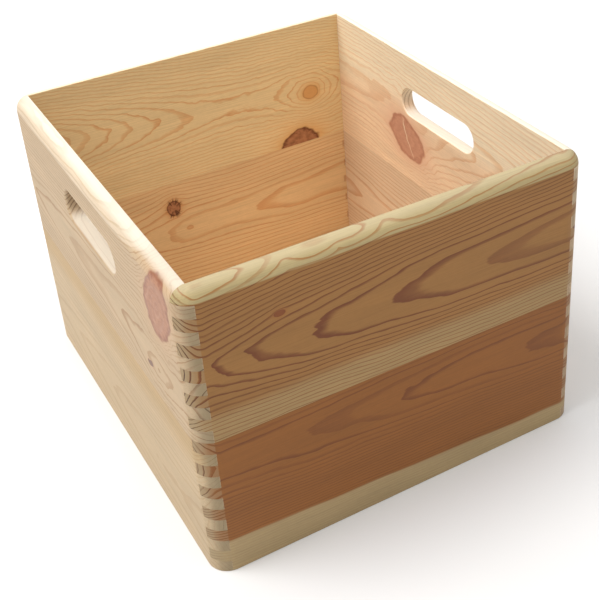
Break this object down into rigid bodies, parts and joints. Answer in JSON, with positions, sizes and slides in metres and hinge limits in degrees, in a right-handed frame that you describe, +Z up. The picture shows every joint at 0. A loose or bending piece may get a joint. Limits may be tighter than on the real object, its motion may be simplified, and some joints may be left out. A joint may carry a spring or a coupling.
{
  "type": "toy box",
  "caption": "Open-topped pine toy box with finger-jointed corners, edge-glued board walls, rounded outer edges and a hand hole through each end wall.",
  "frame": {"origin": "on the ground under the middle of the box", "axes": "+Z up; +Y from the front wall to the back wall, the box's longest side; +X to the right seen from the front, through the two hand holes"},
  "size_m": [0.316, 0.35, 0.24],
  "materials": {
    "pine_front_lower": "sanded solid pine, unpainted, satin",
    "pine_front_upper": "sanded solid pine, unpainted, satin",
    "pine_back_lower": "sanded solid pine, unpainted, satin",
    "pine_back_upper": "sanded solid pine, unpainted, satin",
    "pine_left_lower": "sanded solid pine, unpainted, satin",
    "pine_left_upper": "sanded solid pine, unpainted, satin",
    "pine_right_lower": "sanded solid pine, unpainted, satin",
    "pine_right_upper": "sanded solid pine, unpainted, satin",
    "plywood": "sanded plywood, unpainted"
  },
  "bodies": {
    "root": {"front_lower_board": "pine_front_lower", "front_upper_board": "pine_front_upper", "back_lower_board": "pine_back_lower", "back_upper_board": "pine_back_upper", "left_lower_board": "pine_left_lower", "left_upper_board": "pine_left_upper", "right_lower_board": "pine_right_lower", "right_upper_board": "pine_right_upper", "floor_panel": "plywood"}
  },
  "joints": []
}
